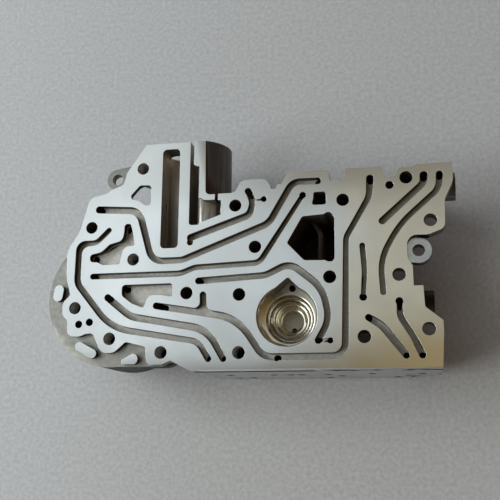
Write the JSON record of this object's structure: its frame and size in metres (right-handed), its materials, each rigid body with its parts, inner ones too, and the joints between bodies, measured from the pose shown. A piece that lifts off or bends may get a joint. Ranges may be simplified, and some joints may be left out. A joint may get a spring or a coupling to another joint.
{
  "type": "transmission accumulator housing",
  "caption": "Die-cast and milled housing of an automatic gearbox's pressure accumulator, with oil channels, a cup, bolt holes and a stepped bore.",
  "frame": {"origin": "centre of the bounding box on the mounting plane", "axes": "+Z out of the milled channel face, +X along the length towards the plug bosses, +Y towards the actuator barrel"},
  "size_m": [0.2174, 0.1244, 0.054],
  "materials": {
    "cast_aluminium": "milled and as cast"
  },
  "bodies": {
    "root": {"accumulator_housing": "cast_aluminium"}
  },
  "joints": []
}
